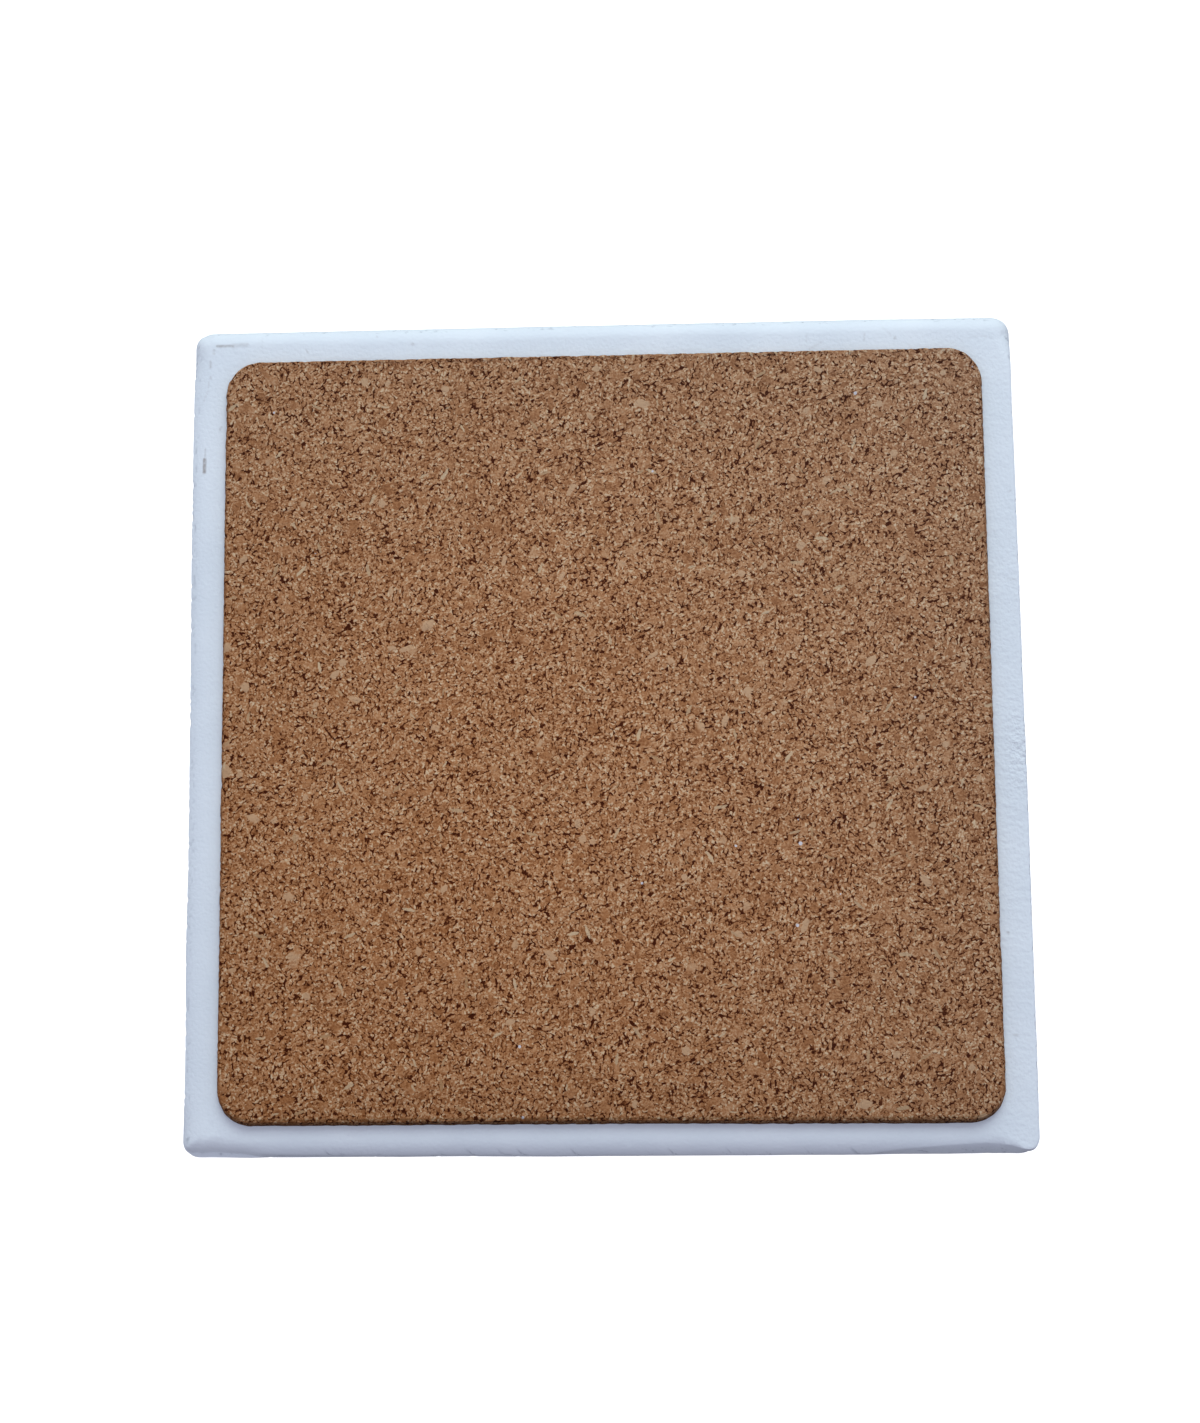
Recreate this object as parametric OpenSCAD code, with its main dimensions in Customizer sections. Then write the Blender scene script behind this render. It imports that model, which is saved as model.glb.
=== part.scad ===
// Square drink coaster, lying turned over: a fired ceramic tile with softly rounded edges, and a die-cut
// sheet of cork stuck to its underside by a film of adhesive. Millimetres, with +Z up. The drinking face
// lies on z = 0 with its centre at the origin, and the cork that the coaster stands on in use is on top.

/* [Tile] */
// Side of the square tile
tile_side = 100; // [80:1:120]
// Thickness of the tile
tile_thickness = 6; // [5:0.5:12]
// Radius of the tile's four corners, seen from above
tile_corner_radius = 2.2; // [2.2:0.1:10]
// Rounding of the edge on the cork side
back_edge_radius = 2; // [0.5:0.1:2.1]
// Rounding of the edge round the drinking face
face_edge_radius = 1.5; // [0.5:0.1:2.1]

/* [Cork] */
// Bare border of tile left round the cork's rest face
cork_border = 4.5; // [3:0.5:12]
// Thickness of the cork sheet
cork_thickness = 1; // [1:0.25:3]
// Radius of the rest face's four corners
cork_corner_radius = 4; // [2:0.5:12]
// How far the die-cut edge spreads out on its way down to the tile
cork_edge_flare = 0.3; // [0:0.1:0.6]
// Rounding that the die presses into the rim of the rest face
cork_rim_radius = 0.45; // [0.2:0.05:0.7]

/* [Adhesive] */
// Thickness of the adhesive film
film_thickness = 0.15; // [0.05:0.05:0.5]
// Distance that the film stays back from the foot of the cork's edge
film_setback = 0.3; // [0.1:0.1:1]

/* [Hidden] */
$fn = 96;
// Reach of a fillet's cutter past the edge that it rounds
overrun = 0.5;

// A fillet can't be larger than the corner that it is carried round
back_fillet = min(back_edge_radius, tile_corner_radius);
face_fillet = min(face_edge_radius, tile_corner_radius);

// The cork follows the tile's outline at the border's distance
cork_side = tile_side - 2 * cork_border;
cork_foot_side = cork_side + 2 * cork_edge_flare;
cork_foot_radius = cork_corner_radius + cork_edge_flare;

// The film lies under the cork's foot
film_side = cork_foot_side - 2 * film_setback;
film_corner_radius = cork_foot_radius - film_setback;
film_z = tile_thickness;
cork_z = film_z + film_thickness;

// The cut edge leans out by this angle from the upright, so its rim turns through the rest of a right angle
cork_lean = atan(cork_edge_flare / cork_thickness);
rim_tangent = cork_rim_radius * tan((90 - cork_lean) / 2);

// What a fillet takes off an outer corner at the origin, for a corner that points along +X and +Y
module fillet_waste(radius) {
    translate([-radius, -radius])
        difference() {
            square(radius + overrun);
            circle(radius);
        }
}

// Carries an edge profile round a square with rounded corners and fills in the middle. The profile's X runs
// outwards from the centre of a corner, and its Y runs upwards.
module square_slab(side, corner_radius, thickness) {
    straight = side - 2 * corner_radius;
    for (turn = [0 : 90 : 270])
        rotate(turn)
            translate([straight / 2, straight / 2, 0]) {
                rotate_extrude(angle = 90)
                    children();
                rotate([90, 0, 0])
                    linear_extrude(height = straight)
                        children();
            }
    translate([-straight / 2, -straight / 2, 0])
        cube([straight, straight, thickness]);
}

// Edge of the tile: upright, with a generous rounding on the cork side and a smaller one at the drinking face
module tile_edge() {
    difference() {
        square([tile_corner_radius, tile_thickness]);
        translate([tile_corner_radius, tile_thickness])
            fillet_waste(back_fillet);
        translate([tile_corner_radius, 0])
            mirror([0, 1])
                fillet_waste(face_fillet);
    }
}

// Edge of the film: cut square
module film_edge() {
    square([film_corner_radius, film_thickness]);
}

// Edge of the cork: leaning out towards its foot, with a pressed rim that is tangent to the rest face and the cut
module cork_edge() {
    polygon([
        [0, 0],
        [cork_foot_radius, 0],
        [cork_corner_radius + rim_tangent * sin(cork_lean), cork_thickness - rim_tangent * cos(cork_lean)],
        [cork_corner_radius - rim_tangent, cork_thickness],
        [0, cork_thickness]
    ]);
    // only the upper half of the rim's circle, so that a large rim stays above the foot
    translate([cork_corner_radius - rim_tangent, cork_thickness - cork_rim_radius])
        intersection() {
            circle(cork_rim_radius);
            translate([-cork_rim_radius, 0])
                square([2 * cork_rim_radius, cork_rim_radius]);
        }
}

module ceramic_tile() {
    color("#E9EDF3")
        square_slab(tile_side, tile_corner_radius, tile_thickness)
            tile_edge();
}

module adhesive_film() {
    color("#E6DDC8")
        translate([0, 0, film_z])
            square_slab(film_side, film_corner_radius, film_thickness)
                film_edge();
}

module cork_backing() {
    color("#9A6F4A")
        translate([0, 0, cork_z])
            square_slab(cork_side, cork_corner_radius, cork_thickness)
                cork_edge();
}

ceramic_tile();
adhesive_film();
cork_backing();
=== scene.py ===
import math

import bpy
import numpy as np
from mathutils import Matrix, Vector


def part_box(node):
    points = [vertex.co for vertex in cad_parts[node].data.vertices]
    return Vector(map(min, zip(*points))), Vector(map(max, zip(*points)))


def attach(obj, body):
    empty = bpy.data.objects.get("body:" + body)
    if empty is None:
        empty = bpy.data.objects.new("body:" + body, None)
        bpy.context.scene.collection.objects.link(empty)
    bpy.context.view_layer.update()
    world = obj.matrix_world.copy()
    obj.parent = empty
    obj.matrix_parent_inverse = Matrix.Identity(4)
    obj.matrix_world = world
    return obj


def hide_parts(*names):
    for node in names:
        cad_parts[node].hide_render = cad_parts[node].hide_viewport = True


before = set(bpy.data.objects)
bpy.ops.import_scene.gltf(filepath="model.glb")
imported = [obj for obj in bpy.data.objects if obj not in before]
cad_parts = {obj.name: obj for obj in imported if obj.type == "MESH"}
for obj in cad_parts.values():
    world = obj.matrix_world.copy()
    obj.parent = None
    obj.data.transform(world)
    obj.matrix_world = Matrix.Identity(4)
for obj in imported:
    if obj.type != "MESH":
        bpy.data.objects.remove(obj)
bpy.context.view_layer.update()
tileLow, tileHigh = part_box("ceramic_tile")
corkLow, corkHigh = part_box("cork_backing")
scene = bpy.context.scene
mm = 0.001


# sRGB hex to linear: each channel c is c / 12.92 near black, and ((c + 0.055) / 1.055) ^ 2.4 above
def linearColour(hexCode):
    channels = [int(hexCode[i:i + 2], 16) / 255 for i in (1, 3, 5)]
    return tuple(c / 12.92 if c <= 0.04045 else ((c + 0.055) / 1.055) ** 2.4 for c in channels) + (1.0,)


# Adds a node, sets it, fills or links its inputs, and gives its outputs. Stops are for a colour ramp.
def addNode(tree, kind, inputs=None, stops=(), **settings):
    node = tree.nodes.new("ShaderNode" + kind)
    for key, value in settings.items():
        setattr(node, key, value)
    for key, value in (inputs or {}).items():
        if isinstance(value, bpy.types.NodeSocket):
            tree.links.new(value, node.inputs[key])
        else:
            node.inputs[key].default_value = value
    for index, (place, hexCode) in enumerate(stops):
        ramp = node.color_ramp.elements
        stop = ramp[index] if index < 2 else ramp.new(place)
        stop.position = place
        stop.color = linearColour(hexCode)
    return node.outputs


# An empty material, its node tree, and the place on the piece in Object coordinates
def newMaterial(name):
    material = bpy.data.materials.new(name)
    material.use_nodes = True
    tree = material.node_tree
    tree.nodes.clear()
    return material, tree, addNode(tree, "TexCoord")["Object"]


# Puts points (mm), quads and closing rings into a smooth mesh, with a float attribute for each named field
def makePiece(name, points, quads, rings, fields, material):
    corners = np.concatenate([quads.ravel(), *rings]).astype(np.int32)
    counts = np.concatenate([np.full(len(quads), 4), [len(ring) for ring in rings]]).astype(np.int32)
    mesh = bpy.data.meshes.new(name)
    mesh.vertices.add(len(points))
    mesh.vertices.foreach_set("co", (points * mm).astype(np.float32).ravel())
    mesh.loops.add(len(corners))
    mesh.loops.foreach_set("vertex_index", corners)
    mesh.polygons.add(len(counts))
    mesh.polygons.foreach_set("loop_start", (np.cumsum(counts) - counts).astype(np.int32))
    mesh.polygons.foreach_set("use_smooth", np.ones(len(counts), bool))
    mesh.update(calc_edges=True)
    for fieldName, values in fields.items():
        attribute = mesh.attributes.new(fieldName, "FLOAT", "POINT")
        attribute.data.foreach_set("value", values.astype(np.float32).ravel())
    mesh.materials.append(material)
    piece = bpy.data.objects.new(name, mesh)
    scene.collection.objects.link(piece)
    return piece


# Quads between the rows of a grid of vertex numbers, each row closed on itself
def quadsBetween(rows):
    after = np.roll(rows, -1, axis=1)
    return np.stack([rows[:-1], rows[1:], after[1:], after[:-1]], axis=-1).reshape(-1, 4)


# 0 at low, 1 at high, and 3t^2 - 2t^3 of the way t between them; low may be the larger of the two
def smoothStep(low, high, value):
    t = np.clip((value - low) / (high - low), 0, 1)
    return t * t * (3 - 2 * t)


# The first of a pair at share 0, the second at share 1
def between(pair, share):
    return pair[0] + (pair[1] - pair[0]) * share


tableSize = 257  # a table of random numbers repeats after so many squares


# Value noise from -1 to 1: random numbers on a square lattice, eased between neighbours by
# 6t^5 - 15t^4 + 10t^3
def softNoise(x, y, cell, seed):
    table = np.random.default_rng(seed).uniform(-1, 1, (tableSize, tableSize))
    u = x / cell + 4096.5  # where on the lattice the origin lies
    v = y / cell + 4096.5
    i = np.floor(u).astype(int)
    j = np.floor(v).astype(int)
    s = u - i
    t = v - j
    s = s * s * s * (s * (6 * s - 15) + 10)
    t = t * t * t * (t * (6 * t - 15) + 10)
    i0, i1 = i % tableSize, (i + 1) % tableSize
    j0, j1 = j % tableSize, (j + 1) % tableSize
    near = table[i0, j0] * (1 - s) + table[i1, j0] * s
    far = table[i0, j1] * (1 - s) + table[i1, j1] * s
    return near * (1 - t) + far * t


# The same noise from 0 to 1
def noiseShare(x, y, cell, seed):
    return 0.5 + 0.5 * softNoise(x, y, cell, seed)


# Camera at the photograph's angle: nearly overhead, a little towards the near edge
cameraView = {
    "place": (8.62, -27.26, 241.64),  # mm
    "aim": (-0.38, 2.03, 7.15),  # mm
    "rollDegrees": -0.559,
    "focalPixels": 2000,
    "imageHeight": 1423,
    "sensor": 36.0,
}
cameraData = bpy.data.cameras.new("coasterCamera")
cameraData.sensor_width = cameraView["sensor"]
cameraData.lens = cameraView["focalPixels"] * cameraView["sensor"] / cameraView["imageHeight"]
cameraData.clip_start = 0.01
cameraData.clip_end = 20
camera = bpy.data.objects.new("coasterCamera", cameraData)
scene.collection.objects.link(camera)
forward = (Vector(cameraView["aim"]) - Vector(cameraView["place"])).normalized()
levelRight = forward.cross(Vector((0, 1, 0))).normalized()
levelUp = levelRight.cross(forward)
roll = math.radians(cameraView["rollDegrees"])
cameraRight = levelRight * math.cos(roll) + levelUp * math.sin(roll)
cameraUp = cameraRight.cross(forward)
axes = Matrix((cameraRight, cameraUp, -forward)).transposed().to_4x4()
camera.matrix_world = Matrix.Translation(Vector(cameraView["place"]) * mm) @ axes
scene.camera = camera
print("camera: lens", round(cameraData.lens, 2), "mm")


# Fired ceramic, cast and left unglazed: a matt, faintly blue white with soft clouding and a fine sandy
# grain, rubbed brown in places and dusty grey in its pits
ceramicFinish = {
    "cloudSize": 9,  # mm, as all sizes here
    "cloudColours": ((0.3, "#E7EDEF"), (0.7, "#EEF3F4")),
    "grainSize": 0.42,
    "grainHeight": 0.1,  # times the attribute peel
    "rubbedColour": "#8F7F74",
    "rubbedShare": (0.45, 0.75),  # least and most, over the grain
    "dustColour": "#8A8F98",
    "dustShare": 0.5,
}


def firedCeramic(finish):
    material, tree, place = newMaterial("matt_fired_ceramic")
    cloud = addNode(tree, "TexNoise", {
        "Vector": place, "Scale": 1 / (finish["cloudSize"] * mm), "Detail": 3.0})["Fac"]
    grain = addNode(tree, "TexNoise", {
        "Vector": place, "Scale": 1 / (finish["grainSize"] * mm), "Detail": 1.0})["Fac"]
    body = addNode(tree, "ValToRGB", {"Fac": cloud}, stops=finish["cloudColours"])["Color"]
    scuff, fleck, peel = [
        addNode(tree, "Attribute", attribute_name=name)["Fac"] for name in ("scuff", "fleck", "peel")]
    worn = addNode(tree, "MapRange", {
        "Value": grain, "From Min": 0.3, "From Max": 0.6,
        "To Min": finish["rubbedShare"][0], "To Max": finish["rubbedShare"][1]})["Result"]
    rubbed = addNode(tree, "Math", {0: scuff, 1: worn}, operation="MULTIPLY")[0]
    marked = addNode(tree, "Mix", {
        0: rubbed, 6: body, 7: linearColour(finish["rubbedColour"])}, data_type="RGBA")[2]
    dusty = addNode(tree, "Math", {0: fleck, 1: finish["dustShare"]}, operation="MULTIPLY")[0]
    marked = addNode(tree, "Mix", {
        0: dusty, 6: marked, 7: linearColour(finish["dustColour"])}, data_type="RGBA")[2]
    height = addNode(tree, "Math", {0: grain, 1: peel}, operation="MULTIPLY")[0]
    bump = addNode(tree, "Bump", {
        "Height": height, "Strength": 1.0, "Distance": finish["grainHeight"] * mm})["Normal"]
    surface = addNode(tree, "BsdfPrincipled", {
        "Base Color": marked, "Roughness": 0.62, "IOR": 1.5, "Specular IOR Level": 0.3, "Normal": bump})
    addNode(tree, "OutputMaterial", {"Surface": surface["BSDF"]})
    return material


# Acrylic adhesive, cast as a film: pale, slightly yellow and satin, with faint flow streaks
adhesiveFinish = {
    "streakSize": 1.5,  # mm across
    "streakDraw": (1.0, 0.12, 1.0),  # drawn out along y
    "streakHeight": 0.02,  # mm
    "streakColours": ((0.3, "#CDBE9F"), (0.7, "#DED2B8")),
}


def acrylicAdhesive(finish):
    material, tree, place = newMaterial("cast_acrylic_adhesive")
    streaks = addNode(tree, "Mapping", {"Vector": place, "Scale": finish["streakDraw"]})["Vector"]
    flow = addNode(tree, "TexNoise", {
        "Vector": streaks, "Scale": 1 / (finish["streakSize"] * mm), "Detail": 3.0})["Fac"]
    tint = addNode(tree, "ValToRGB", {"Fac": flow}, stops=finish["streakColours"])["Color"]
    bump = addNode(tree, "Bump", {
        "Height": flow, "Strength": 0.3, "Distance": finish["streakHeight"] * mm})["Normal"]
    surface = addNode(tree, "BsdfPrincipled", {
        "Base Color": tint, "Roughness": 0.45, "IOR": 1.47, "Normal": bump})
    addNode(tree, "OutputMaterial", {"Surface": surface["BSDF"]})
    return material


# Agglomerated cork, pressed and sanded: tan flakes of under half a millimetre, lying every way, with dark
# pores and creases between them, darkened partly as the cork's own voids and partly with painted shade,
# smooth paler chips, thin cream slivers and specks of white
corkFinish = {
    "bendSize": 0.5,  # mm, as all sizes here
    "bendReach": 0.36,
    "clumpSize": 1.3,
    "flakeSize": 0.35,
    "flakeStretch": (1.5, 0.8, 1.0),
    "fineSize": 0.24,
    "creaseSize": 0.8,
    "patchSize": 2.5,
    # what each layer adds to the tone; the pores' and creases' darkening is partly painted shade
    "flakeTone": 0.36,
    "fineTone": 1.2,
    "patchTone": 0.1,
    "baseTone": -0.12,
    "poreTone": (-0.5, -1.1),  # from tight patches to porous ones
    "creaseTone": -0.35,
    "chipFineTone": 0.75,
    "pitTone": -0.2,
    "toneColours": (
        (0.0, "#481F0F"), (1.0, "#DCBE98"), (0.2, "#744224"), (0.45, "#98633D"), (0.6, "#AC764D"),
        (0.75, "#BE8A60"), (0.88, "#CC9F76")),
    "paleColour": "#CCA37C",
    "sliverSpacing": 2.9,
    "sliverReach": 0.9,  # half the longest one
    "sliverSlimness": 4.2,
    "sliverRarity": 0.58,  # share of the cells without one
    "sliverColours": ((0.0, "#B58A61"), (1.0, "#D4B690")),
    "speckSpacing": 4.5,
    "speckReach": (-0.03, 0.06),  # shares of the spacing, and no speck below zero
    "speckColour": "#DDD6D6",
    "poreHeight": 0.08,
}


# Three layers of flakes, each turned its own way; clumps choose which one shows. Gives tone and distance.
def corkFlakes(tree, bent, finish):
    clump = addNode(tree, "TexVoronoi", {"Vector": bent, "Scale": 1 / (finish["clumpSize"] * mm)})["Color"]
    choice = addNode(tree, "SeparateColor", {"Color": clump})["Red"]
    shownTone = shownEdge = None
    for turn in (0, 1, 2):
        laid = addNode(tree, "Mapping", {
            "Vector": bent, "Rotation": (0.2, 0.3 * turn, math.radians(25 + 60 * turn)),
            "Scale": finish["flakeStretch"]}, vector_type="TEXTURE")["Vector"]
        flake = addNode(tree, "TexVoronoi", {"Vector": laid, "Scale": 1 / (finish["flakeSize"] * mm)})
        tone = addNode(tree, "SeparateColor", {"Color": flake["Color"]})["Red"]
        if turn == 0:
            shownTone, shownEdge = tone, flake["Distance"]
            continue
        pick = addNode(tree, "Math", {0: choice, 1: turn / 3}, operation="GREATER_THAN")[0]
        shownTone = addNode(tree, "Mix", {0: pick, 2: shownTone, 3: tone})[0]
        shownEdge = addNode(tree, "Mix", {0: pick, 2: shownEdge, 3: flake["Distance"]})[0]
    return shownTone, shownEdge


# Lays slivers and specks over a colour. A sliver is an ellipse about its cell's seed, turned by the cell's
# own angle, and a speck is a dot about another cell's seed.
def corkSlivers(tree, place, bent, colour, finish):
    sliver = addNode(tree, "TexVoronoi", {
        "Vector": place, "Scale": 1 / (finish["sliverSpacing"] * mm), "Randomness": 0.75},
        voronoi_dimensions="2D")
    trait = addNode(tree, "SeparateColor", {"Color": sliver["Color"]})
    away = addNode(tree, "VectorMath", {0: bent, 1: sliver["Position"]}, operation="SUBTRACT")[0]
    swing = addNode(tree, "Math", {0: trait["Red"], 1: math.pi}, operation="MULTIPLY")[0]
    lying = addNode(tree, "VectorRotate", {"Vector": away, "Angle": swing}, rotation_type="Z_AXIS")[0]
    lying = addNode(tree, "VectorMath", {
        0: lying, 1: (1 / mm, finish["sliverSlimness"] / mm, 0.0)}, operation="MULTIPLY")[0]
    far = addNode(tree, "VectorMath", {0: lying}, operation="LENGTH")["Value"]
    grown = addNode(tree, "MapRange", {
        "Value": trait["Green"], "From Min": finish["sliverRarity"], "From Max": 1.0,
        "To Min": 0.0, "To Max": finish["sliverReach"]})["Result"]
    inside = addNode(tree, "Math", {0: grown, 1: far}, operation="SUBTRACT")[0]
    inSliver = addNode(tree, "MapRange", {"Value": inside, "From Min": 0.0, "From Max": 0.12})["Result"]
    sliverColour = addNode(tree, "ValToRGB", {"Fac": trait["Blue"]}, stops=finish["sliverColours"])["Color"]
    colour = addNode(tree, "Mix", {0: inSliver, 6: colour, 7: sliverColour}, data_type="RGBA")[2]
    speck = addNode(tree, "TexVoronoi", {"Vector": place, "Scale": 1 / (finish["speckSpacing"] * mm)})
    speckSize = addNode(tree, "SeparateColor", {"Color": speck["Color"]})["Green"]
    reach = addNode(tree, "MapRange", {
        "Value": speckSize, "To Min": finish["speckReach"][0], "To Max": finish["speckReach"][1]})["Result"]
    onSpeck = addNode(tree, "Math", {0: speck["Distance"], 1: reach}, operation="LESS_THAN")[0]
    return addNode(tree, "Mix", {
        0: onSpeck, 6: colour, 7: linearColour(finish["speckColour"])}, data_type="RGBA")[2]


def sandedCork(finish):
    material, tree, place = newMaterial("sanded_agglomerated_cork")
    wander = addNode(tree, "TexNoise", {
        "Vector": place, "Scale": 1 / (finish["bendSize"] * mm), "Detail": 1.0})["Color"]
    offset = addNode(tree, "VectorMath", {0: wander, 1: (0.5, 0.5, 0.5)}, operation="SUBTRACT")[0]
    push = addNode(tree, "VectorMath", {0: offset, "Scale": finish["bendReach"] * mm}, operation="SCALE")[0]
    bent = addNode(tree, "VectorMath", {0: place, 1: push}, operation="ADD")[0]
    flakeTone, flakeEdge = corkFlakes(tree, bent, finish)
    fine, fold, patch = [
        addNode(tree, "TexNoise", {"Vector": vector, "Scale": 1 / (size * mm), "Detail": detail})["Fac"]
        for vector, size, detail in (
            (bent, finish["fineSize"], 1.0), (bent, finish["creaseSize"], 1.0),
            (place, finish["patchSize"], 2.0))]
    chip, chipTone, pit, pale, worn, sheenSaturation = [
        addNode(tree, "Attribute", attribute_name=name)["Fac"]
        for name in ("chipEdge", "chipTone", "pit", "pale", "worn", "sheenSaturation")]
    # pores where flakes meet, and broken creases along one level of the fold noise, darkened partly as the
    # cork's own voids and partly with painted shade
    pore = addNode(tree, "MapRange", {"Value": flakeEdge, "From Min": 0.6, "From Max": 0.82},
                   interpolation_type="SMOOTHSTEP")["Result"]
    porous = addNode(tree, "MapRange", {
        "Value": patch, "From Min": 0.3, "From Max": 0.7,
        "To Min": finish["poreTone"][0], "To Max": finish["poreTone"][1]})["Result"]
    ridge = addNode(tree, "Math", {0: fold, 1: 0.5, 2: 0.02}, operation="COMPARE")[0]
    broken = addNode(tree, "MapRange", {"Value": fine, "From Min": 0.5, "From Max": 0.4})["Result"]
    crease = addNode(tree, "Math", {0: ridge, 1: broken}, operation="MULTIPLY")[0]
    tone = finish["baseTone"]
    for layer, weight in (
            (flakeTone, finish["flakeTone"]), (fine, finish["fineTone"]), (patch, finish["patchTone"]),
            (pore, porous), (crease, finish["creaseTone"])):
        tone = addNode(tree, "Math", {0: layer, 1: weight, 2: tone}, operation="MULTIPLY_ADD")[0]
    # chips are smoother, and pits are darker: partly darker binder, partly painted shade by their depth
    inChip = addNode(tree, "MapRange", {"Value": chip, "From Min": -0.04, "From Max": 0.06},
                     interpolation_type="SMOOTHSTEP")["Result"]
    chipLook = addNode(tree, "Math", {
        0: fine, 1: finish["chipFineTone"], 2: chipTone}, operation="MULTIPLY_ADD")[0]
    tone = addNode(tree, "Mix", {0: inChip, 2: tone, 3: chipLook})[0]
    tone = addNode(tree, "Math", {0: pit, 1: finish["pitTone"], 2: tone}, operation="MULTIPLY_ADD")[0]
    colour = addNode(tree, "ValToRGB", {"Fac": tone}, stops=finish["toneColours"])["Color"]
    # pale chips are less red
    paleHere = addNode(tree, "Math", {0: pale, 1: inChip}, operation="MULTIPLY")[0]
    colour = addNode(tree, "Mix", {
        0: paleHere, 6: colour, 7: linearColour(finish["paleColour"])}, data_type="RGBA")[2]
    colour = corkSlivers(tree, place, bent, colour, finish)
    # painted shade darkens the edges, the near side and the cut edge, blotches vary the brightness at
    # random, and a painted sheen pales the far right corner and turns its hue
    turned = addNode(tree, "MapRange", {
        "Value": sheenSaturation, "From Min": 0.92, "From Max": 1.04, "To Min": 0.5035, "To Max": 0.4985})["Result"]
    colour = addNode(tree, "HueSaturation", {
        "Hue": turned, "Saturation": sheenSaturation, "Value": worn, "Color": colour})["Color"]
    height = addNode(tree, "Math", {0: pore, 1: -1.0, 2: fine}, operation="MULTIPLY_ADD")[0]
    bump = addNode(tree, "Bump", {
        "Height": height, "Strength": 0.65, "Distance": finish["poreHeight"] * mm})["Normal"]
    surface = addNode(tree, "BsdfPrincipled", {
        "Base Color": colour, "Roughness": 0.9, "IOR": 1.45, "Specular IOR Level": 0.06, "Normal": bump})
    addNode(tree, "OutputMaterial", {"Surface": surface["BSDF"]})
    return material


ceramic = firedCeramic(ceramicFinish)
adhesive = acrylicAdhesive(adhesiveFinish)
cork = sandedCork(corkFinish)
print("materials: ceramic, adhesive and cork")


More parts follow.
